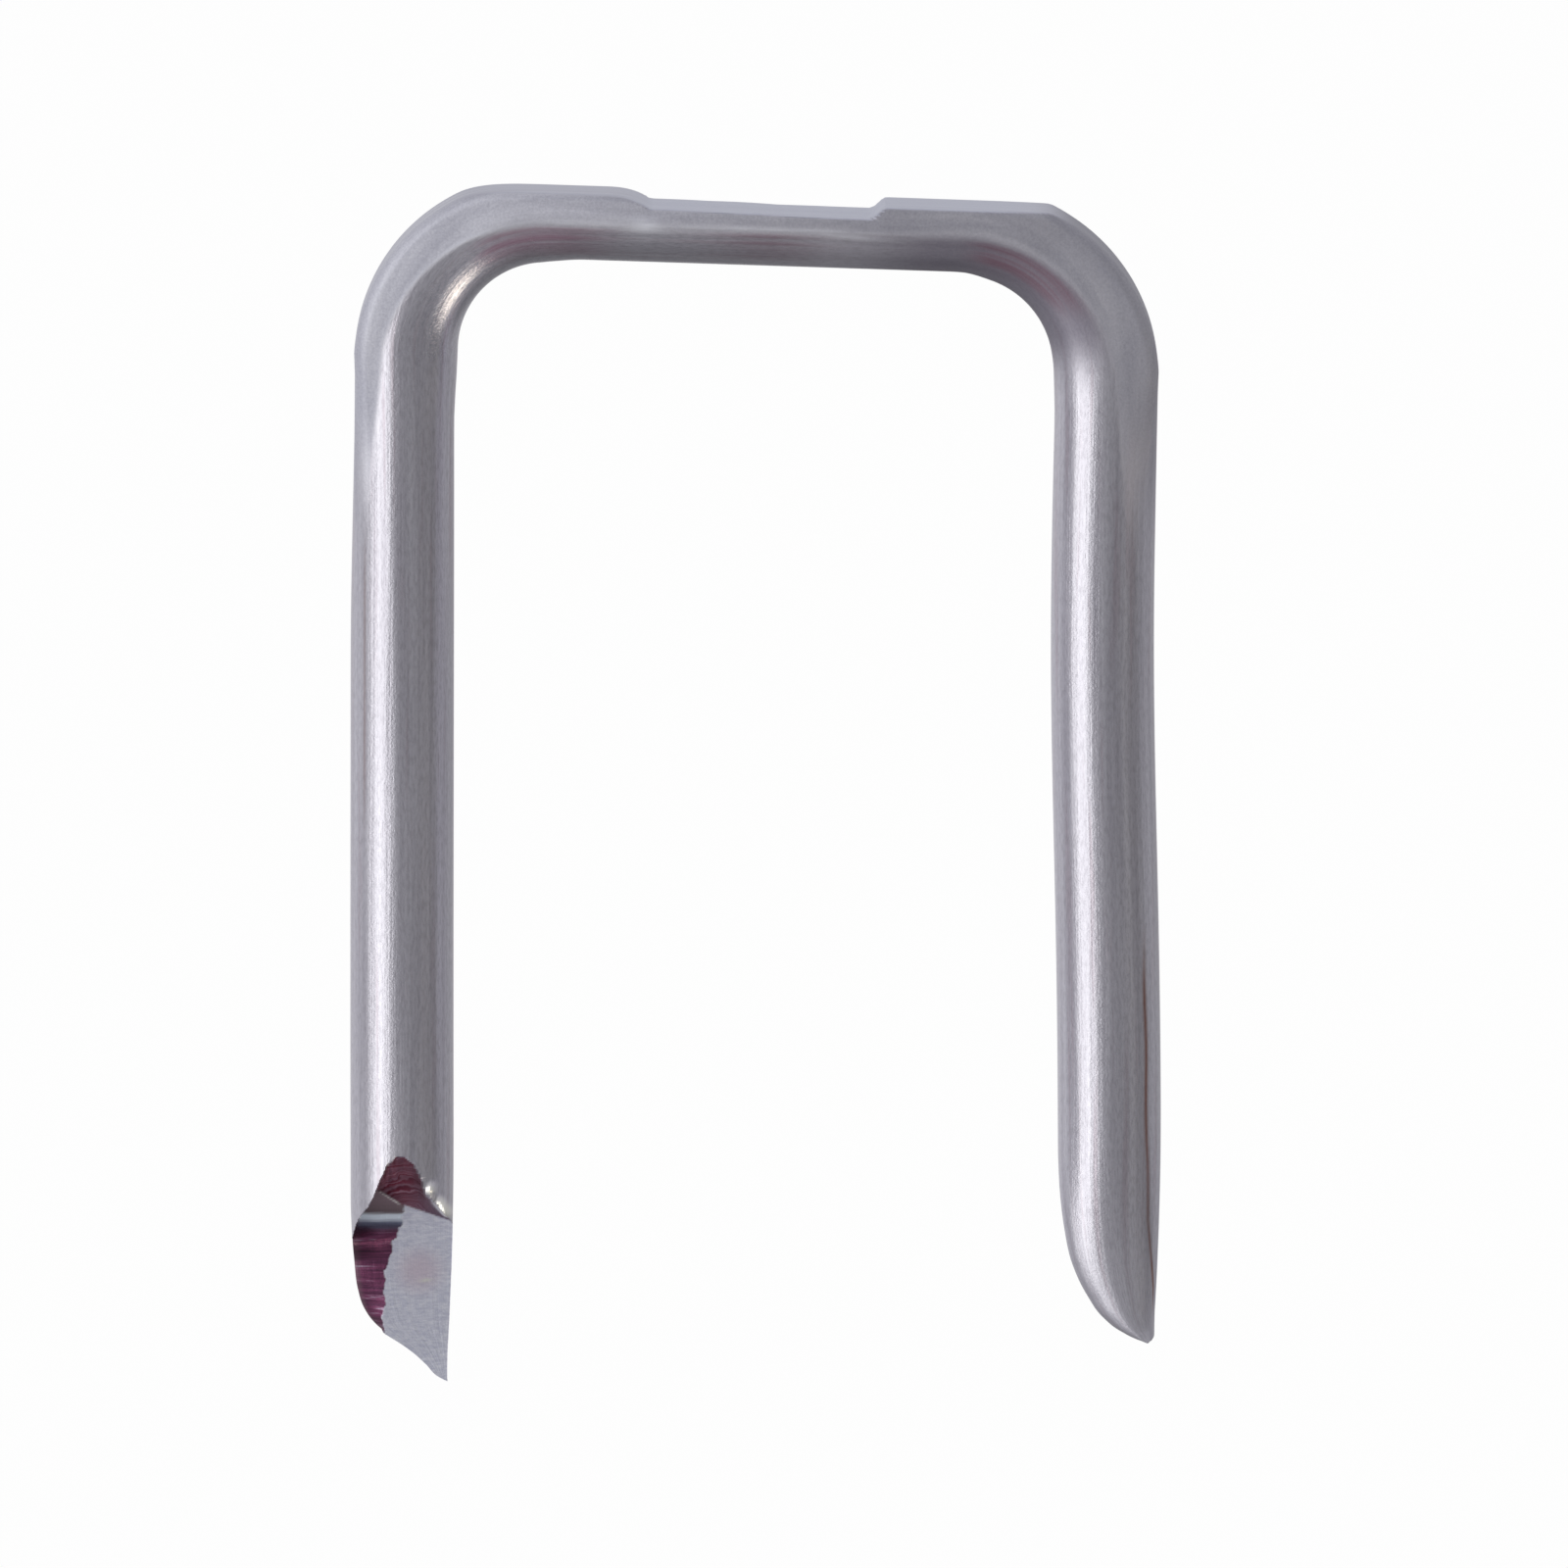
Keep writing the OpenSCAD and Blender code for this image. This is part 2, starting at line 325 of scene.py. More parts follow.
# %% Burrs and bright specks
def burrs(x, z):
    """Two hills beside the flake, each 1 at its middle: a round one that falls off as a bell, and a
    long slanting one with a flatter top. The height of each grows towards its right, so that its
    face is turned to the left."""
    dx, dz = x - LONG_BURR[0], z - LONG_BURR[1]
    lengthwise = dx * BURR_WAY[0] - dz * BURR_WAY[1]
    off = dx * BURR_WAY[1] + dz * BURR_WAY[0]
    small = np.exp(-((x - SMALL_BURR[0]) / 0.10) ** 2 - ((z - SMALL_BURR[1]) / 0.14) ** 2)
    long = np.exp(-(lengthwise / 0.27) ** 4 - (off / 0.14) ** 4)
    stand = 1.1 * small * np.clip(x - 0.55, 0, 0.26) + 1.7 * long * np.clip(x - 0.79, 0, 0.26)
    return small + long, stand


# Painted glints: bright specks on the flake's rim, its lower edge and the fracture
def painted_glints(x, z, rim, is_cut):
    """Bright specks along the flake's left rim and its lower edge, and one fleck on the
    fracture: bells across a line, cut off at its ends and broken up by a sine."""
    speckle = 0.5 + 0.5 * np.sin(31 * x + 47 * z)
    on_rim = np.exp(-((z - rim + 0.03) / 0.035) ** 2)
    on_rim = on_rim * smooth(x, -0.66, -0.56) * smooth(x, -0.20, -0.32)
    on_edge = np.exp(-((z - flake_line(x)) / 0.035) ** 2)
    on_edge = on_edge * smooth(x, -0.62, -0.5) * smooth(x, -0.02, -0.12)
    dx, dz = x - FRACTURE_GLINT[0], z - FRACTURE_GLINT[1]
    fleck = np.exp(-(dx / 0.13) ** 2 - ((dz - 0.1 * dx) / 0.04) ** 2)
    return 0.75 * speckle * (on_rim + on_edge) * is_cut + 0.8 * fleck


burr_x, burr_z = np.meshgrid(np.linspace(0.4, 1.2, 81), np.linspace(4.0, 5.2, 121))
print("burrs stand up by", round(float(burrs(burr_x, burr_z)[1].max()), 2), "mm")


# %% Rings of a point
def point(x_low_z, x_low_x, across, rows, roll, roll_z, end_round, burr_size):
    """Rings of a point, from its end upwards: x across, y with the cut towards -y, z up, and masks
    for the cut, the burnished band, the flake, the burrs and the band's outer side. across gives
    each column's share of the section's width. roll says how far the back is drawn in from a round
    to an oval that closes on the cut's depth, up to the heights in roll_z."""
    z = TIP_H * np.linspace(0, 1, rows) ** 1.15
    x_low = np.maximum(curve_through(z, x_low_z, x_low_x), -WIRE_R)
    tear = rounded_interp(z, TEAR_Z, TEAR_Y, 0.10)
    high = np.where(tear > 0, np.sqrt(np.maximum(WIRE_R ** 2 - tear ** 2, 0)), WIRE_R)
    low = np.clip(1 - z / END_H, 0, 1)
    high = high - 0.03 * smooth(z, 1.6, 0.2) - end_round * (1 - np.sqrt(1 - low ** 2))
    c = across[None]
    x = x_low[:, None] + (high - x_low)[:, None] * c
    zz = np.repeat(z[:, None], x.shape[1], 1)
    round_y = np.sqrt(np.maximum(WIRE_R ** 2 - x * x, 0))
    q = OVAL_SHARE * (2 * c - 1)
    oval_r = np.maximum(WIRE_R - tear[:, None], 0)
    oval = tear[:, None] + oval_r * np.sqrt(np.maximum(1 - q * q, 0))
    blend = roll * (1 - smooth(z, *roll_z))[:, None]
    back = round_y + (oval - round_y) * blend
    # The band ends on the front of the wire's flank above the bite, and on its back below it
    turn_side = 1 - 2 * smooth(z, 2.9, 3.75)
    flank_y = np.minimum(round_y[:, 0] * turn_side, back[:, 0])
    cut, rim, edge = cut_face(x, zz, x_low[:, None], flank_y[:, None])
    front = np.minimum(np.maximum(-round_y, cut), back)
    is_cut = smooth(cut + round_y, 0.002, 0.016)
    is_band = is_cut * smooth(edge - x, -0.015, 0.015)
    is_flake = is_cut * smooth(zz - flake_line(x), -0.02, 0.03)
    # Painted light: the band's outer side is given a lighter colour in the material
    out_share = (edge - x) / np.maximum(edge - x_low[:, None], 0.05)
    side = is_band * smooth(out_share, 0.75, 1.0)
    burr_and_glint, stand = burrs(x, zz)
    front = front - burr_size * stand * (front < 0)
    # The bright specks join the burrs' mask and get the same colour: painted glints
    burr_and_glint = np.minimum(burr_and_glint + painted_glints(x, zz, rim, is_cut), 1)
    masks = [is_cut * (1 - burr_and_glint), is_band, is_flake * (1 - burr_and_glint), burr_and_glint, side]
    return x, front, back, zz, masks


def ring_grid(front, back):
    """Joins the front half and the back half of each ring into one closed row."""
    return np.concatenate([front, back[:, -2:0:-1]], 1)


MASKS = ("cut", "burnished", "flake", "burr_and_glint", "side")
ROWS_LEFT, ROWS_RIGHT = 170, 100    # the right point's cut faces away, and needs fewer rows
share = (1 - np.cos(half_angle)) / 2
lx, lf, lb, lz, left_masks = point(
    LEFT_LOW_Z, LEFT_LOW_X, share, ROWS_LEFT, roll=0.5, roll_z=(1.2, 3.4),
    end_round=0.0, burr_size=1.0)
rx, rf, rb, rz, right_masks = point(
    RIGHT_LOW_Z, RIGHT_LOW_X, 1 - share, ROWS_RIGHT, roll=1.0, roll_z=(1.8, 5.6),
    end_round=0.11, burr_size=0.3)
print("rings in the points", ROWS_LEFT, ROWS_RIGHT)

# %% [markdown]
# ## One closed skin
# The rings of the left point, the swept wire and the rings of the right point form one grid, closed
# around and capped at each end. The right point's cut faces the back, so its depth is turned round,
# and its rings run downwards. A mask ends before the wire's flank, so that no colour of the cut
# bleeds around to the other side.

# %% Put the grid together
left_tip = np.stack([
    LEFT_X + ring_grid(lx, lx), ring_grid(lf, lb), LEFT_TIP_Z + ring_grid(lz, lz)], 2)
# On the right leg the outside is +X, so its columns run from the high side of x to the low one
right_tip = np.stack([
    RIGHT_X + ring_grid(rx, rx), ring_grid(-rb, -rf), RIGHT_TIP_Z + ring_grid(rz, rz)], 2)[::-1]
for name, mask in zip(MASKS, left_masks):
    if name != "burr_and_glint":      # the left point's burrs reach the flank, so their mask does too
        mask[:, -1] = 0
for mask in right_masks:
    mask[:, :5] = 0
    mask[:, -5:] = 0
left_rings = [ring_grid(m, 0 * m) for m in left_masks]
right_rings = [ring_grid(0 * m, m)[::-1] for m in right_masks]
grid = np.concatenate([left_tip[:-1], sweep, right_tip[1:]])
zero = np.zeros(sweep.shape[:2])
masks = [np.concatenate([a[:-1], zero, b[1:]]) for a, b in zip(left_rings, right_rings)]
print("grid of", grid.shape[0], "by", grid.shape[1], "points")

# %% [markdown]
# ## The lean of the legs
# No staple is bent quite true. The left leg leans outwards by under a tenth of a millimetre on its
# way down, and the right one bows inwards in its upper half. The lean is a shift of the finished
# grid that depends on height.

# %% Lean and bow
x, z = grid[..., 0], grid[..., 2]
left_shift = -0.045 * (1 - smooth(z, 6, 25))
right_shift = 0.06 - 0.20 * np.exp(-((z - 18) / 7) ** 2)
grid[..., 0] = x + left_shift * smooth(-x, 0, 8) + right_shift * smooth(x, 0, 8)
print("x from", round(float(x.min()), 3), "to", round(float(x.max()), 3), "mm")

# %% [markdown]
# ## From grid to mesh
# Draw lines follow the wire around its bends, so the mesh has to say how far along and around the
# wire each of its points lies. Object coordinates could not follow a bend, so this goes into the UV
# map, in millimetres. Rows and columns become four-sided faces, and each end gets a fan. Edges that
# turn by more than 25 degrees, such as those of the cut, keep a crisp shading edge.

# %% Length along the wire and distance around it
centre_line = grid.mean(1)
gaps = np.linalg.norm(np.diff(centre_line, axis=0), axis=1)
along = np.concatenate([[0], np.cumsum(gaps)])
around = theta * WIRE_R
print("wire's length", round(float(along[-1]), 1), "mm")


# %% Make the mesh
def skin(name, points, along_mm, around_mm):
    """Mesh of a grid of rings, closed around and capped with a fan at each end. The UV map holds
    millimetres along and around the wire."""
    rows, cols = points.shape[:2]
    r = np.arange(rows - 1)[:, None]
    c = np.arange(cols)[None]
    a = r * cols + c
    b = r * cols + (c + 1) % cols
    quads = np.stack([a, b, b + cols, a + cols], 2).reshape(-1, 4)
    ends = np.array([points[0].mean(0), points[-1].mean(0)])
    verts = np.concatenate([points.reshape(-1, 3), ends]) * MM
    k = np.arange(cols)
    last_row = (rows - 1) * cols
    first = np.stack([(k + 1) % cols, k, np.full(cols, rows * cols)], 1)
    last = np.stack([last_row + k, last_row + (k + 1) % cols, np.full(cols, rows * cols + 1)], 1)
    mesh = bpy.data.meshes.new(name)
    mesh.from_pydata(verts.tolist(), [], quads.tolist() + first.tolist() + last.tolist())
    after = np.append(around_mm[1:], 2 * math.pi * WIRE_R)
    low, high = np.broadcast_to(along_mm[r], a.shape), np.broadcast_to(along_mm[r + 1], a.shape)
    here, there = np.broadcast_to(around_mm[c], a.shape), np.broadcast_to(after[c], a.shape)
    uv = np.stack([low, here, low, there, high, there, high, here], 2).reshape(-1, 2)
    fan = np.zeros((2 * cols * 3, 2))
    fan[:, 1] = np.tile(np.repeat(around_mm, 3), 2)
    fan[cols * 3:, 0] = along_mm[-1]
    layer = mesh.uv_layers.new(name="wire_mm")
    layer.data.foreach_set("uv", np.concatenate([uv, fan]).astype(np.float32).ravel())
    mesh.polygons.foreach_set("use_smooth", np.ones(len(mesh.polygons), bool))
    mesh.update()
    # Real corners, such as the edges of the cut, keep a crisp shading edge
    mesh.set_sharp_from_angle(angle=math.radians(25))
    obj = bpy.data.objects.new(name, mesh)
    bpy.context.scene.collection.objects.link(obj)
    return obj


staple = skin("bent_wire", grid, along, around)
print("triangles", 2 * (grid.shape[0] - 1) * COLS + 2 * COLS)

# %% [markdown]
# ## Where each finish lies
# The wire's finish changes with what touched it. The die dulled its cheeks and faces, the punch
# left a bright strip on top of the crown, the former polished the inside of the left bend and
# dulled that of the right one, and the shear bared the steel at the points. Two of the numbers
# paint light instead: a pale highlight along the crease, and shade inside the right bend. Each of
# them is a number from 0 to 1 at every point of the mesh, worked out from the same distances that
# shaped it.
# Painted textures could say the same, but they would have to be painted again after each change
# of shape.

# %% What the die and the punch did
sx, sz = sweep[..., 0], sweep[..., 2]
above_crease = w - crease[:, None]
press_side = smooth(above_crease / (0.10 + 0.25 * struck[:, None]), -1, 0.6)
press_side = press_side * smooth(axis_z, 19.5, 24.0)[:, None]
press_top = smooth(cos_t[None] * rho - (face[:, None] - 0.03), 0, 0.02) * (cos_t > 0)
# The strip is brightest in the press mark and on the crown's right half
strip = struck * (0.6 + 0.4 * np.maximum(mark, axis_x > 0))
press_top = press_top * strip[:, None]
press_side = press_side * (1 - press_top)
# A painted highlight along the crease, strong at the left and faint at the right
crease_highlight_level = smooth(axis_z, 25.2, 26.6) * (0.55 - 0.52 * smooth(axis_x, 1, 5))
crease_highlight = np.exp(-((above_crease - 0.02) / 0.05) ** 2) * crease_highlight_level[:, None]
# Where the edges of the press mark rubbed in the die: a spot, and a thin slanting line
rub = np.exp(-((sx + 2.6) / 0.42) ** 2 - ((above_crease + 0.02) / 0.24) ** 2)
rub_line = above_crease + 0.06 * (sx - 2.3) + 0.12
rub = rub + 0.6 * np.exp(-((sx - 2.3) / 0.8) ** 2 - (rub_line / 0.06) ** 2)
print("bright strip on", round(100 * float((press_top > 0.5).mean()), 1), "% of the sweep")

# %% What the former did
dulled = 0.6 * smooth(axis_z, 23.6, 25.6) * smooth(axis_x, -1.0, 4.0)
press_side = np.maximum(press_side, dulled[:, None] * (1 - press_top))
# Painted shade inside the right bend, under the crease
shaded = smooth(axis_x, 1.5, 4.5) * smooth(axis_z, 23.8, 25.8)
inner_shade = smooth(-above_crease, -0.08, 0.20) * shaded[:, None]
nose = 0.75 * smooth(axis_z, 23.4, 26.2) * (1 - smooth(axis_x, -5.9, -4.6))
polish = smooth(-above_crease, 0.15, 0.45) * nose[:, None]
# Plum tarnish under the crease, at the crown's left half and middle and inside the right bend
under = smooth(-above_crease, 0.03, 0.20) * smooth(-above_crease, 0.95, 0.50)
stain = smooth(sx, -6.9, -6.1) * (1 - smooth(sx, -4.6, -2.6)) * smooth(sz, 26.3, 27.1)
stain = stain + smooth(sx, 4.7, 5.6) * smooth(sz, 25.5, 26.3)
stain = (stain + 0.8 * np.exp(-((sx - 0.3) / 1.3) ** 2)) * under
print("tarnish on", round(100 * float((stain > 0.5).mean()), 1), "% of the sweep")

# %% Rust, and the table of all finishes
# A thin line of rust along the right leg, and a fainter one on the left: at each height, the angle
# at which it lies on the wire, in radians from the outside
gx, gz = grid[..., 0], grid[..., 2]
rust_at = np.interp(gz, [2.5, 2.9, 4.1, 6.0, 8.0, 11.0], [0.42, 0.50, 0.69, 0.77, 0.79, 0.80])
rust_at = rust_at + 0.015 * np.sin(2.1 * gz)
right_rust = np.exp(-((theta - rust_at) / 0.045) ** 2) * smooth(gz, 1.6, 2.6)
left_rust = 0.4 * np.exp(-((theta - 0.77) / 0.03) ** 2) * smooth(gz, 13, 15)
rust = right_rust * (1 - smooth(gz, 9, 11.5)) * (gx > 0)
rust = rust + left_rust * (1 - smooth(gz, 19, 21)) * (gx < 0)
fields = dict(zip(MASKS, masks))
pad_l = np.zeros((left_tip.shape[0] - 1, COLS))
pad_r = np.zeros((right_tip.shape[0] - 1, COLS))
worn_end = 0.18 * smooth(right_tip[1:, :, 2], 4.4, 2.0)
fields["matte"] = np.concatenate([pad_l, press_side, worn_end])
swept = {"struck": press_top, "crease_highlight": crease_highlight, "stain": stain, "rub": rub, "polish": polish,
         "inner_shade": inner_shade}
for name, values in swept.items():
    fields[name] = np.concatenate([pad_l, values, pad_r])
fields["rust"] = rust
fields["tear_mm"] = np.hypot(gx - LEFT_X - FLAKE_X, gz - FLAKE_Z)
for name, values in fields.items():
    layer = staple.data.attributes.new(name, "FLOAT", "POINT")
    caps = [values[0].mean(), values[-1].mean()]
    layer.data.foreach_set("value", np.append(values.ravel(), caps).astype(np.float32))
    print(name, "covers", round(100 * float((values > 0.5).mean()), 1), "% of the points")

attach(staple, "root")
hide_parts("staple_wire")


# %% [markdown]
# ## Helpers for materials
# Colours are written as they look on a screen, and one function turns them into the linear values
# that a renderer works with. One small function adds a node, its settings and its links.

# %% Helpers for materials
def linear(hex_colour):
    """sRGB hex to linear RGBA."""
    c = np.array([int(hex_colour[i:i + 2], 16) for i in (1, 3, 5)]) / 255
    c = np.where(c <= 0.04045, c / 12.92, ((c + 0.055) / 1.055) ** 2.4)
    return (*c.tolist(), 1.0)


def add(tree, kind, links=None, stops=(), **settings):
    """Adds a node. Settings are its properties, or its inputs where the name starts with in_ and
    then gives a number or a name; links maps inputs to the sockets that feed them. stops are the
    positions and colours of a ramp, in rising order."""
    node = tree.nodes.new(kind)
    for key, value in settings.items():
        if key.startswith("in_"):
            key = key[3:]
            node.inputs[int(key) if key.isdigit() else key.replace("_", " ")].default_value = value
        else:
            setattr(node, key, value)
    if stops:
        elements = node.color_ramp.elements
        elements[0].position, elements[0].color = stops[0]
        elements[1].position, elements[1].color = stops[-1]
        for position, colour in stops[1:-1]:
            elements.new(position).color = colour
    for key, socket in (links or {}).items():
        tree.links.new(socket, node.inputs[key])
    return node


print("linear value of middle grey #808080:", round(linear("#808080")[0], 3))

# %% [markdown]
# ## Zinc plated drawn wire
# The wire was pulled through a round die, which leaves fine lines along it, and then zinc plated:
# a bluish to violet grey metal, half glossy. Noise that is stretched along the wire gives the draw
# lines and the broader plum tints of the passivated coat. Where the forming die pressed it the
# surface is duller and paler, with no lines. All of it is one metal with one shader, because it is
# one piece, and the finishes meet without an edge.

# %% Zinc plated drawn wire: what the patterns read
# Bluish grey with a soft streaky shine: the coat is thin, so the drawn wire's lines show through it
zinc = bpy.data.materials.new("zinc_plated_drawn_wire")
zinc.use_nodes = True
tree = zinc.node_tree
shader = tree.nodes["Principled BSDF"]
uv = add(tree, "ShaderNodeUVMap", uv_map="wire_mm").outputs["UV"]
place = add(tree, "ShaderNodeTexCoord").outputs["Object"]
finish = {}
for name in fields:
    finish[name] = add(tree, "ShaderNodeAttribute", attribute_name=name).outputs["Fac"]
matte, flat, cut, band = (finish[n] for n in ("matte", "struck", "cut", "burnished"))
torn, burr_and_glint = finish["flake"], finish["burr_and_glint"]
x_m, _, z_m = add(tree, "ShaderNodeSeparateXYZ", {0: place}).outputs
print("finishes that the material reads", list(finish))

# %% Patterns, from real sizes
# The UV map is in millimetres, along and around. Draw lines: 0.25 mm apart and 12 mm long
stretch = add(tree, "ShaderNodeMapping", {"Vector": uv}, in_Scale=(0.08, 4.0, 1.0)).outputs[0]
draw = add(
    tree, "ShaderNodeTexNoise", {"Vector": stretch}, in_Scale=1.0, in_Detail=4.0,
    in_Roughness=0.6).outputs[0]
# Broad tints in the coat: 9 mm long and 0.24 mm wide
broad = add(tree, "ShaderNodeMapping", {"Vector": uv}, in_Scale=(0.11, 4.2, 1.0)).outputs[0]
tint = add(
    tree, "ShaderNodeTexNoise", {"Vector": broad}, in_Scale=1.0, in_Detail=3.0,
    in_Roughness=0.6).outputs[0]
# Flecks in the coat: about 0.25 mm long and 0.06 mm wide
fleck_at = add(tree, "ShaderNodeMapping", {"Vector": uv}, in_Scale=(4.0, 16.0, 1.0)).outputs[0]
fleck = add(
    tree, "ShaderNodeTexNoise", {"Vector": fleck_at}, in_Scale=1.0, in_Detail=3.0,
    in_Roughness=0.7).outputs[0]
# Grain of the plating: 0.06 mm, which is coarser than real zinc crystals so that it shows
grain = add(
    tree, "ShaderNodeTexNoise", {"Vector": place}, in_Scale=18000.0, in_Detail=3.0,
    in_Roughness=0.6).outputs[0]
# Smears that the die left on its cheeks: 3 mm long and 0.36 mm wide
press_lines = add(tree, "ShaderNodeMapping", {"Vector": uv}, in_Scale=(0.32, 2.8, 1.0)).outputs[0]
mottle = add(
    tree, "ShaderNodeTexNoise", {"Vector": press_lines}, in_Scale=1.0, in_Detail=4.0,
    in_Roughness=0.6).outputs[0]
print("patterns on the coat:", len(tree.nodes), "nodes so far")

# %% Colour of the drawn and of the pressed coat
grey = add(
    tree, "ShaderNodeValToRGB", {"Fac": draw},
    stops=[(0.32, linear("#c9c6d3")), (0.66, linear("#e0deea"))])
plum = add(
    tree, "ShaderNodeMapRange", {"Value": tint}, in_1=0.56, in_2=0.66, in_3=0.0,
    in_4=0.24).outputs[0]
drawn = add(
    tree, "ShaderNodeMix", {0: plum, 6: grey.outputs[0]}, data_type="RGBA",
    in_7=linear("#b295a2")).outputs[2]
fleck = add(
    tree, "ShaderNodeMapRange", {"Value": fleck}, in_1=0.56, in_2=0.36, in_3=0.0,
    in_4=0.30).outputs[0]
drawn = add(
    tree, "ShaderNodeMix", {0: fleck, 6: drawn}, data_type="RGBA",
    in_7=linear("#8f8b97")).outputs[2]
speck = add(tree, "ShaderNodeMix", {2: mottle, 3: grain}, in_0=0.45).outputs[0]
speck = add(tree, "ShaderNodeMapRange", {"Value": speck}, in_1=0.32, in_2=0.68).outputs[0]
dull = add(
    tree, "ShaderNodeMix", {0: speck}, data_type="RGBA", in_6=linear("#c6c6d4"),
    in_7=linear("#e8e8f2")).outputs[2]
# Painted shade: the coat is made darker towards the right of the crown, from x -5 mm to 3 mm
right_shade = add(
    tree, "ShaderNodeMapRange", {"Value": x_m}, in_1=-0.005, in_2=0.003, in_3=0.0,
    in_4=1.0).outputs[0]
shaded_dull = add(
    tree, "ShaderNodeMix", {0: right_shade, 6: dull}, data_type="RGBA", blend_type="MULTIPLY",
    in_7=linear("#dfdedf")).outputs[2]
plated = add(
    tree, "ShaderNodeMix", {0: matte, 6: drawn, 7: shaded_dull}, data_type="RGBA").outputs[2]
# Painted shade: the coat is darkened inside the right bend
plated = add(
    tree, "ShaderNodeMix", {0: finish["inner_shade"], 6: plated}, data_type="RGBA",
    blend_type="MULTIPLY", in_7=linear("#c9c5cb")).outputs[2]
print("coat's colours: drawn, pressed, and inside the right bend")

# %% Strip, painted crease highlight, tarnish and rust
# Bluish bright strip under the punch
blue = add(tree, "ShaderNodeMath", {0: flat}, operation="MULTIPLY", in_1=0.8).outputs[0]
plated = add(
    tree, "ShaderNodeMix", {0: blue, 6: plated}, data_type="RGBA",
    in_7=linear("#c8cce2")).outputs[2]
# Painted highlight along the crease, and pale rubbed edges, broken up by the smears
crease_highlight_and_rub = add(
    tree, "ShaderNodeMath", {0: finish["crease_highlight"], 1: finish["rub"]},
    operation="MAXIMUM").outputs[0]
patchy = add(
    tree, "ShaderNodeMapRange", {"Value": mottle}, in_1=0.36, in_2=0.60, in_3=0.35,
    in_4=1.0).outputs[0]
crease_highlight_and_rub = add(tree, "ShaderNodeMath", {0: crease_highlight_and_rub, 1: patchy}, operation="MULTIPLY").outputs[0]
plated = add(
    tree, "ShaderNodeMix", {0: crease_highlight_and_rub, 6: plated}, data_type="RGBA",
    in_7=linear("#f3f4ff")).outputs[2]
# Plum tarnish in streaks along the wire, made darker at the right by the same painted shade
stained = add(
    tree, "ShaderNodeMapRange", {"Value": draw}, in_1=0.38, in_2=0.60, in_3=0.15,
    in_4=0.85).outputs[0]
stained = add(
    tree, "ShaderNodeMath", {0: finish["stain"], 1: stained}, operation="MULTIPLY").outputs[0]
tarnish = add(
    tree, "ShaderNodeMix", {0: right_shade}, data_type="RGBA", in_6=linear("#b08aa0"),
    in_7=linear("#8c6c7c")).outputs[2]
plated = add(
    tree, "ShaderNodeMix", {0: stained, 6: plated, 7: tarnish}, data_type="RGBA").outputs[2]
# Rust where a draw line has broken the coat
rusty = add(
    tree, "ShaderNodeMath", {0: finish["rust"], 1: draw}, operation="MULTIPLY").outputs[0]
rusty = add(
    tree, "ShaderNodeMath", {0: rusty}, operation="MULTIPLY", use_clamp=True,
    in_1=1.9).outputs[0]
plated = add(
    tree, "ShaderNodeMix", {0: rusty, 6: plated}, data_type="RGBA",
    in_7=linear("#8a5640")).outputs[2]
print("the coat:", len(tree.nodes), "nodes so far")

# %% [markdown]
# ## The cut's three finishes
# The blade burnished a band of bare steel, which has tarnished to plum with bright scores across it
# and turns blue-black and then grey-brown towards the bite, with a painted highlight as a bright
# line between them. The fracture is granular and grey, with fine slanted scratches. The flake is
# torn in arcs around its deepest place. Noise stretched across the leg gives the scores, and noise
# over the distance from the flake's middle the arcs.

# %% Burnished band
# Scores: 0.07 mm apart up the leg and 1.1 mm long across it
streak_at = add(
    tree, "ShaderNodeMapping", {"Vector": place}, in_Scale=(900.0, 900.0, 14000.0)).outputs[0]
streak = add(
    tree, "ShaderNodeTexNoise", {"Vector": streak_at}, in_Scale=1.0, in_Detail=3.0,
    in_Roughness=0.65).outputs[0]
band_ramp = add(tree, "ShaderNodeValToRGB", {"Fac": streak}, stops=[
    (0.36, linear("#583850")), (0.60, linear("#80496a")), (0.72, linear("#b0a0b8"))])
# Up the band, from 3.6 to 4.6 mm: plum, a blue-black line, a bright line that is a painted
# highlight, and grey-brown, with edges that waver by up to 0.16 mm
wave = add(tree, "ShaderNodeMath", {0: streak}, operation="MULTIPLY", in_1=0.00016).outputs[0]
height = add(tree, "ShaderNodeMath", {0: z_m, 1: wave}, operation="ADD").outputs[0]
tint_up = add(
    tree, "ShaderNodeMapRange", {"Value": height}, in_1=0.0036, in_2=0.0046).outputs[0]
levels = add(tree, "ShaderNodeValToRGB", {"Fac": tint_up}, stops=[
    (0.10, (*linear("#7a6074")[:3], 0.0)), (0.26, linear("#5c5a70")), (0.36, linear("#7c8098")),
    (0.46, linear("#e6efff")), (0.53, linear("#e6efff")), (0.62, linear("#76686f")),
    (0.90, linear("#8f7c86"))])
worn = add(
    tree, "ShaderNodeMix",
    {0: levels.outputs[1], 6: band_ramp.outputs[0], 7: levels.outputs[0]},
    data_type="RGBA").outputs[2]
# Painted light: the band's outer side is made lighter, 0.4 of the way to #a08a94
painted_light_side = add(
    tree, "ShaderNodeMath", {0: finish["side"]}, operation="MULTIPLY", in_1=0.4).outputs[0]
worn = add(
    tree, "ShaderNodeMix", {0: painted_light_side, 6: worn}, data_type="RGBA",
    in_7=linear("#a08a94")).outputs[2]
print("burnished band:", len(levels.color_ramp.elements), "levels at its top")

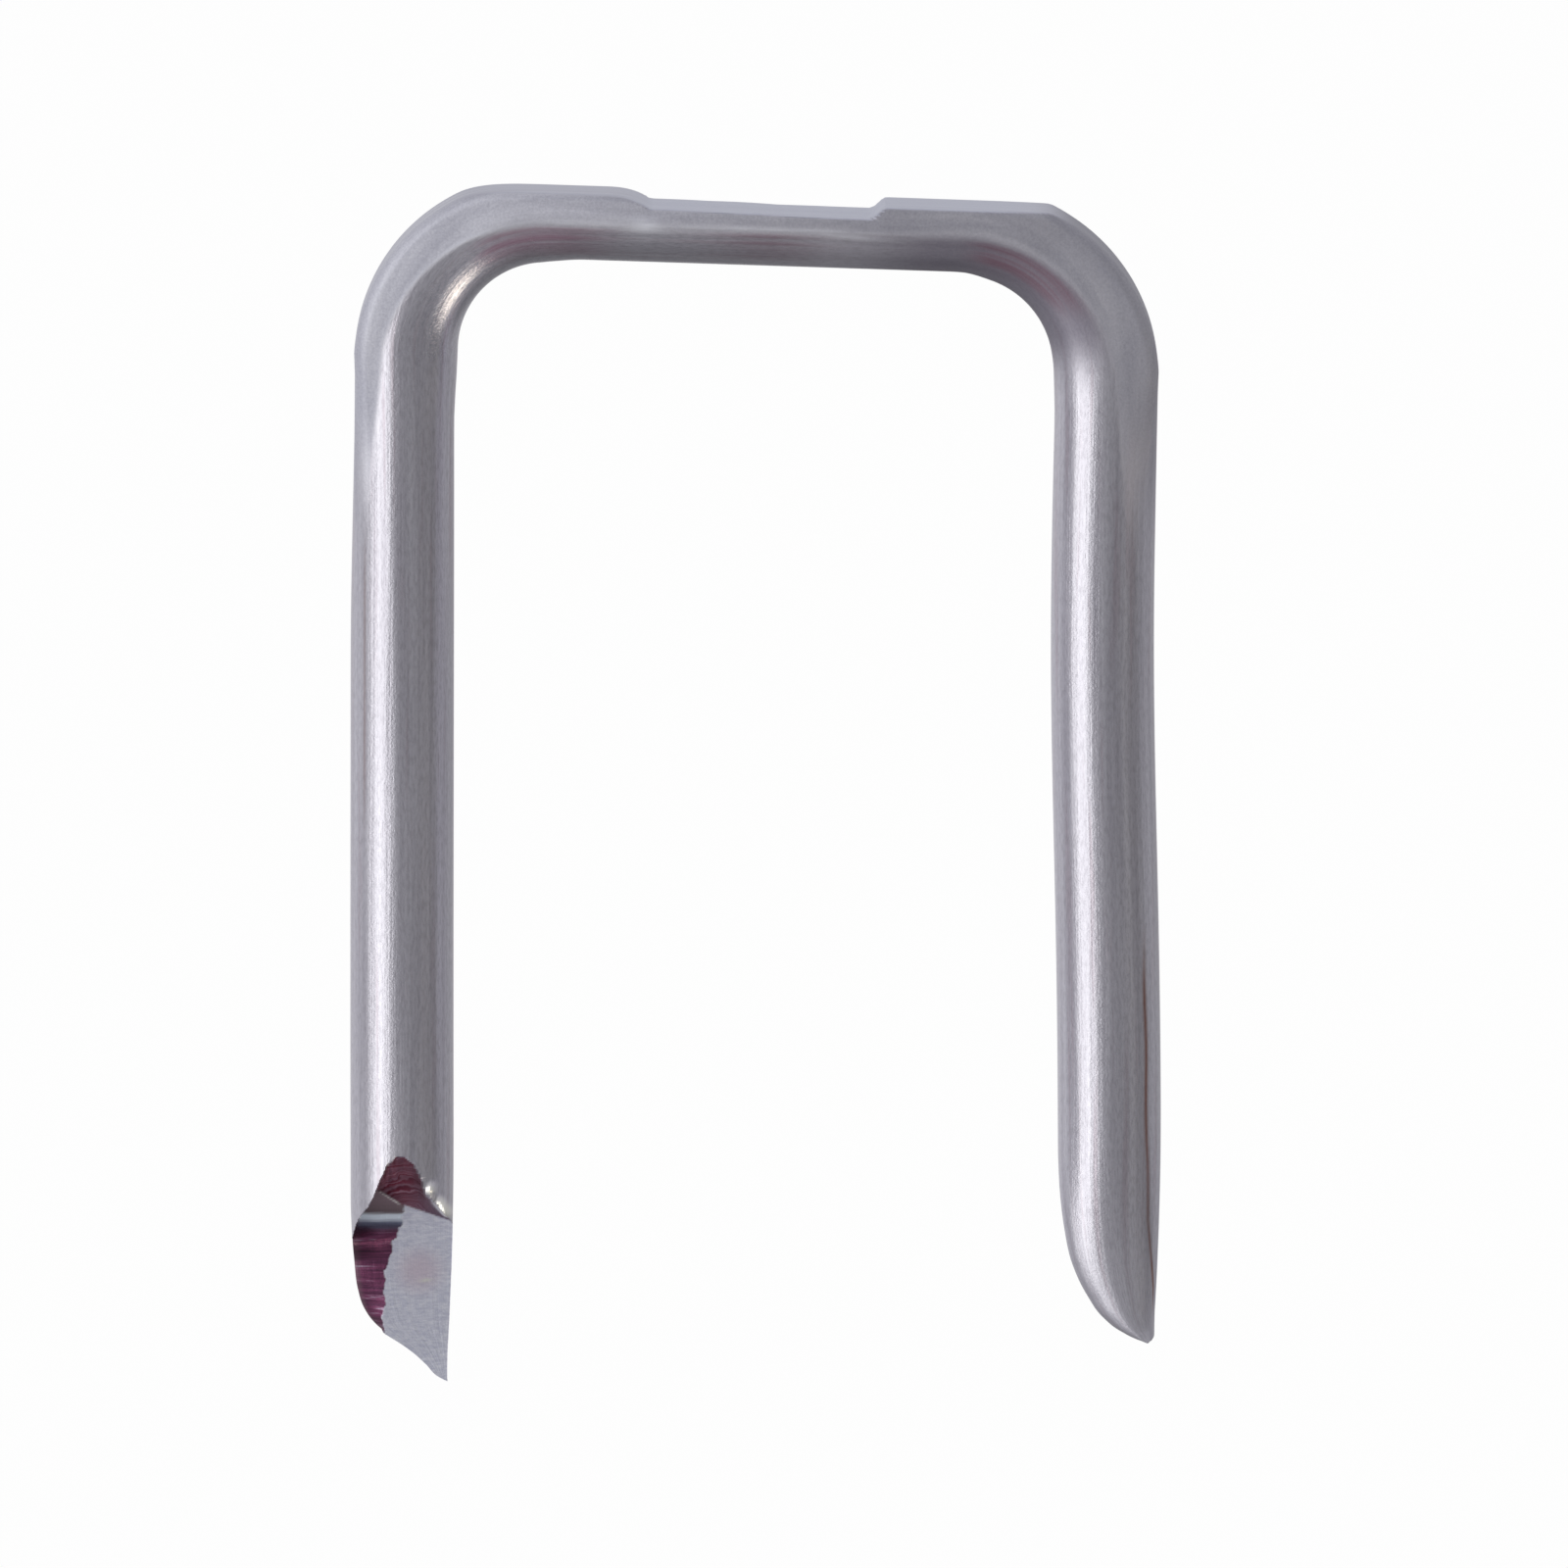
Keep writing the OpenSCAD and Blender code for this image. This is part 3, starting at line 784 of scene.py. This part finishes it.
# %% Fracture
# Slanted scratches: 0.2 mm long and 0.06 mm apart, turned by 20 degrees, on a granular grey
slant = add(
    tree, "ShaderNodeMapping", {"Vector": place}, in_Rotation=(0, 0.35, 0),
    in_Scale=(5000.0, 5000.0, 16000.0)).outputs[0]
scratch = add(
    tree, "ShaderNodeTexNoise", {"Vector": slant}, in_Scale=1.0, in_Detail=4.0,
    in_Roughness=0.7).outputs[0]
frac_ramp = add(
    tree, "ShaderNodeValToRGB", {"Fac": scratch},
    stops=[(0.35, linear("#cccee2")), (0.72, linear("#ebecf8"))])
# A pinkish patch, which has faded out at 0.8 mm from its middle
spot = add(
    tree, "ShaderNodeVectorMath", {0: place}, operation="DISTANCE",
    in_1=(-0.0080, 0.0004, 0.0027)).outputs["Value"]
spot = add(
    tree, "ShaderNodeMapRange", {"Value": spot}, interpolation_type="SMOOTHSTEP",
    in_1=0.0008, in_2=0.0001, in_3=0.0, in_4=0.5).outputs[0]
frac = add(
    tree, "ShaderNodeMix", {0: spot, 6: frac_ramp.outputs[0]}, data_type="RGBA",
    in_7=linear("#d2bccc")).outputs[2]
print("fracture's scratches turned by", round(math.degrees(0.35)), "degrees")

# %% Torn flake
# Arcs about 0.08 mm apart, pushed about by lumps of 0.55 mm
lumps = add(
    tree, "ShaderNodeTexNoise", {"Vector": place}, in_Scale=1800.0, in_Detail=3.0).outputs[0]
tear_at = add(
    tree, "ShaderNodeMath", {0: lumps, 2: finish["tear_mm"]}, operation="MULTIPLY_ADD",
    in_1=0.5).outputs[0]
arcs = add(
    tree, "ShaderNodeTexNoise", {"W": tear_at}, noise_dimensions="1D", in_Scale=13.0,
    in_Detail=5.0).outputs[0]
tear_ramp = add(
    tree, "ShaderNodeValToRGB", {"Fac": arcs},
    stops=[(0.35, linear("#86344a")), (0.7, linear("#b98a9e"))])
# It greys towards its right end, from x -8.6 mm to -7.6 mm
greyer = add(
    tree, "ShaderNodeMapRange", {"Value": x_m}, in_1=-0.0086, in_2=-0.0076, in_3=0.0,
    in_4=0.75).outputs[0]
scoop = add(
    tree, "ShaderNodeMix", {0: greyer, 6: tear_ramp.outputs[0]}, data_type="RGBA",
    in_7=linear("#6e6272")).outputs[2]
print("flake from #86344a to grey at its right end")

# %% Colour, roughness and bump together
face_col = add(tree, "ShaderNodeMix", {0: band, 6: frac, 7: worn}, data_type="RGBA").outputs[2]
face_col = add(
    tree, "ShaderNodeMix", {0: torn, 6: face_col, 7: scoop}, data_type="RGBA").outputs[2]
colour = add(tree, "ShaderNodeMix", {0: cut, 6: plated, 7: face_col}, data_type="RGBA").outputs[2]
# Burrs are real raised metal; they and the specks are near white, which is a painted glint
colour = add(
    tree, "ShaderNodeMix", {0: burr_and_glint, 6: colour}, data_type="RGBA",
    in_7=linear("#fffdf8")).outputs[2]
tree.links.new(colour, shader.inputs["Base Color"])
# Half glossy along the draw lines, then how rough each finish is, in the order they were made
rough = add(tree, "ShaderNodeMapRange", {"Value": draw}, in_3=0.26, in_4=0.36).outputs[0]
for mask, value in (
        (matte, 0.74), (flat, 0.34), (cut, 0.58), (band, 0.42), (burr_and_glint, 0.42),
        (finish["polish"], 0.22)):
    rough = add(tree, "ShaderNodeMix", {0: mask, 2: rough}, in_3=value).outputs[0]
tree.links.new(rough, shader.inputs["Roughness"])
shader.inputs["Metallic"].default_value = 1.0
# Draw lines stand up by 0.03 mm at most and the grain by 0.02 mm. The die pressed the lines out
line_amount = add(tree, "ShaderNodeMix", {0: matte, 2: draw}, in_3=0.5).outputs[0]
lines = add(
    tree, "ShaderNodeBump", {"Height": line_amount}, in_Strength=0.5, in_Distance=0.00003)
fine = add(
    tree, "ShaderNodeBump", {"Height": grain, "Normal": lines.outputs[0]}, in_Strength=0.35,
    in_Distance=0.00002)
tree.links.new(fine.outputs[0], shader.inputs["Normal"])
staple.data.materials.append(zinc)
print("material", zinc.name, "with", len(tree.nodes), "nodes")

# %% [markdown]
# ## The camera
# The photograph looks slightly down on the staple through a long lens, which keeps both legs
# parallel. A short lens close by would show the underside of the crown and make the points splay.

# %% Camera
VIEW_WIDTH = 37.2 * MM              # what the photograph shows across its frame
lift = math.radians(7.75)           # how far above level it was taken from
target = np.array([0.674, 0, 14.44]) * MM
camera_data = bpy.data.cameras.new("camera")
camera_data.lens, camera_data.sensor_width = 600, 36
camera_data.clip_start, camera_data.clip_end = 0.01, 10
camera = bpy.data.objects.new("camera", camera_data)
bpy.context.scene.collection.objects.link(camera)
distance = VIEW_WIDTH * camera_data.lens / camera_data.sensor_width
camera.location = target + distance * np.array([0, -math.cos(lift), math.sin(lift)])
camera.rotation_euler = (math.pi / 2 - lift, 0, 0)
bpy.context.scene.camera = camera
print("camera", round(distance, 3), "m away")

# %% [markdown]
# ## The floor
# The staple is shown upright, with its longer point on pale paper. The photographed one lies in
# empty white space. A floor could be left out, but then nothing would show which way is down. So it
# stays, nearly white to the camera, and the metal neither mirrors it nor is shaded by it.


# %% Floor
def stage_plane(name, size, material):
    """A flat square floor at height 0, which isn't part of the object."""
    s = size / 2
    mesh = bpy.data.meshes.new(name)
    mesh.from_pydata([(-s, -s, 0), (s, -s, 0), (s, s, 0), (-s, s, 0)], [], [(0, 1, 2, 3)])
    obj = bpy.data.objects.new(name, mesh)
    mesh.materials.append(material)
    bpy.context.scene.collection.objects.link(obj)
    return obj


# Uncoated paper scatters light evenly, so it has no highlight
paper = bpy.data.materials.new("pale_floor_paper")
paper.use_nodes = True
tree = paper.node_tree
base = tree.nodes["Principled BSDF"]
base.inputs["Base Color"].default_value = linear("#e8e8ea")
base.inputs["Roughness"].default_value = 0.9
ray = add(tree, "ShaderNodeLightPath")
glow = add(tree, "ShaderNodeEmission", in_Color=(1, 1, 1, 1), in_Strength=1.0)
seen = add(
    tree, "ShaderNodeMath", {0: ray.outputs["Is Camera Ray"]}, operation="MULTIPLY", in_1=0.975)
mix = add(
    tree, "ShaderNodeMixShader", {0: seen.outputs[0], 1: base.outputs[0], 2: glow.outputs[0]})
tree.links.new(mix.outputs[0], tree.nodes["Material Output"].inputs[0])
floor = stage_plane("floor", 4.0, paper)
floor.visible_glossy = False
floor.visible_shadow = False
print("floor", floor.name, "4 m wide")

# %% [markdown]
# ## The studio
# Polished wire shows all that is around it, so the room is part of the likeness. Each leg is a
# round mirror: a line of brightness on it says how bright the room is in one direction. Read that
# way, the photograph shows a white backdrop behind, a dim room on the camera's side that is darkest
# at the right, a tall soft lamp at the front left and a small warm reflector low at the right. The
# room is a colour ramp over the compass direction, blended into a ground by height. Cards set up
# around the staple could do the same, but they would be in the picture from other sides.

# %% The room by compass direction
world = bpy.data.worlds.new("studio")
bpy.context.scene.world = world
world.use_nodes = True
tree = world.node_tree
back = tree.nodes["Background"]
way = add(tree, "ShaderNodeTexCoord").outputs["Generated"]
way_x, way_y, way_z = add(tree, "ShaderNodeSeparateXYZ", {0: way}).outputs
front = add(tree, "ShaderNodeMath", {0: way_y}, operation="MULTIPLY", in_1=-1.0).outputs[0]
azimuth = add(tree, "ShaderNodeMath", {0: way_x, 1: front}, operation="ARCTAN2").outputs[0]
turn = add(
    tree, "ShaderNodeMapRange", {"Value": azimuth}, in_1=-math.pi, in_2=math.pi).outputs[0]
# Degrees from the camera's side towards the right, and how bright the room is there
ROOM = [(-180, 0.70), (-112, 0.66), (-104, 0.50), (-84, 0.50), (-30, 0.46), (-10, 0.29),
        (60, 0.20), (86, 0.18), (95, 0.38), (150, 0.40), (180, 0.70)]
room = add(
    tree, "ShaderNodeValToRGB", {"Fac": turn},
    stops=[((degrees + 180) / 360, (v, v, v, 1)) for degrees, v in ROOM])
# High up, the room fades to one even level
above = add(
    tree, "ShaderNodeMapRange", {"Value": way_z}, interpolation_type="SMOOTHSTEP",
    in_1=-0.1, in_2=0.7).outputs[0]
level = add(tree, "ShaderNodeMix", {0: above, 2: room.outputs[0]}, in_3=0.56).outputs[0]
print("room in", len(ROOM), "directions")

# %% The ground by height, and the warm reflector
# The ground is darker straight down and towards the rear, and lighter at the left
below_level = add(
    tree, "ShaderNodeMapRange", {"Value": way_z}, interpolation_type="SMOOTHSTEP",
    in_1=-0.2, in_2=-0.5).outputs[0]
ground = add(
    tree, "ShaderNodeMapRange", {"Value": way_z}, in_1=-0.75, in_2=-1.0, in_3=0.38,
    in_4=0.21).outputs[0]
rear = add(
    tree, "ShaderNodeMapRange", {"Value": way_y}, interpolation_type="SMOOTHSTEP",
    in_1=-0.1, in_2=0.5, in_3=1.0, in_4=0.6).outputs[0]
ground = add(tree, "ShaderNodeMath", {0: ground, 1: rear}, operation="MULTIPLY").outputs[0]
left_low = add(
    tree, "ShaderNodeMapRange", {"Value": way_x}, interpolation_type="SMOOTHSTEP",
    in_1=-0.15, in_2=-0.6, in_3=0.0, in_4=0.16).outputs[0]
ground = add(tree, "ShaderNodeMath", {0: ground, 1: left_low}, operation="ADD").outputs[0]
level = add(tree, "ShaderNodeMix", {0: below_level, 2: level, 3: ground}).outputs[0]
# The reflector is full within 7 degrees of its direction and has faded out at 15
REFLECTOR_WAY, REFLECTOR_LEVEL = (0.712, -0.339, -0.615), 2.8
near = add(
    tree, "ShaderNodeVectorMath", {0: way}, operation="DOT_PRODUCT",
    in_1=REFLECTOR_WAY).outputs["Value"]
near = add(
    tree, "ShaderNodeMapRange", {"Value": near}, interpolation_type="SMOOTHSTEP",
    in_1=0.968, in_2=0.992).outputs[0]
level = add(tree, "ShaderNodeMix", {0: near, 2: level}, in_3=REFLECTOR_LEVEL).outputs[0]
# The camera itself sees plain white behind the staple
ray = add(tree, "ShaderNodeLightPath")
level = add(
    tree, "ShaderNodeMix", {0: ray.outputs["Is Camera Ray"], 2: level}, in_3=1.0).outputs[0]
warm = add(
    tree, "ShaderNodeMix", {0: near}, data_type="RGBA", in_6=(1, 1, 1, 1),
    in_7=(1.0, 0.90, 0.70, 1)).outputs[2]
tree.links.new(warm, back.inputs["Color"])
tree.links.new(level, back.inputs["Strength"])
print("studio world with", len(tree.nodes), "nodes")


# %% The soft lamp
def lamp(name, azimuth, elevation, away, width, height, power):
    """A soft rectangular lamp that faces the staple, in metres and watts. Azimuth 0 is the
    camera's side, and it grows towards the right, in degrees."""
    a, e = math.radians(azimuth), math.radians(elevation)
    way_out = np.array([math.sin(a) * math.cos(e), -math.cos(a) * math.cos(e), math.sin(e)])
    data = bpy.data.lights.new(name, "AREA")
    data.shape, data.size, data.size_y, data.energy = "RECTANGLE", width, height, power
    data.color = (1.0, 1.0, 0.93)
    obj = bpy.data.objects.new(name, data)
    obj.location = target + away * way_out
    obj.rotation_euler = (math.pi / 2 - e, 0, a)
    bpy.context.scene.collection.objects.link(obj)


lamp("front_left_softbox", azimuth=-50, elevation=8, away=0.5, width=0.38, height=0.8, power=1.08)
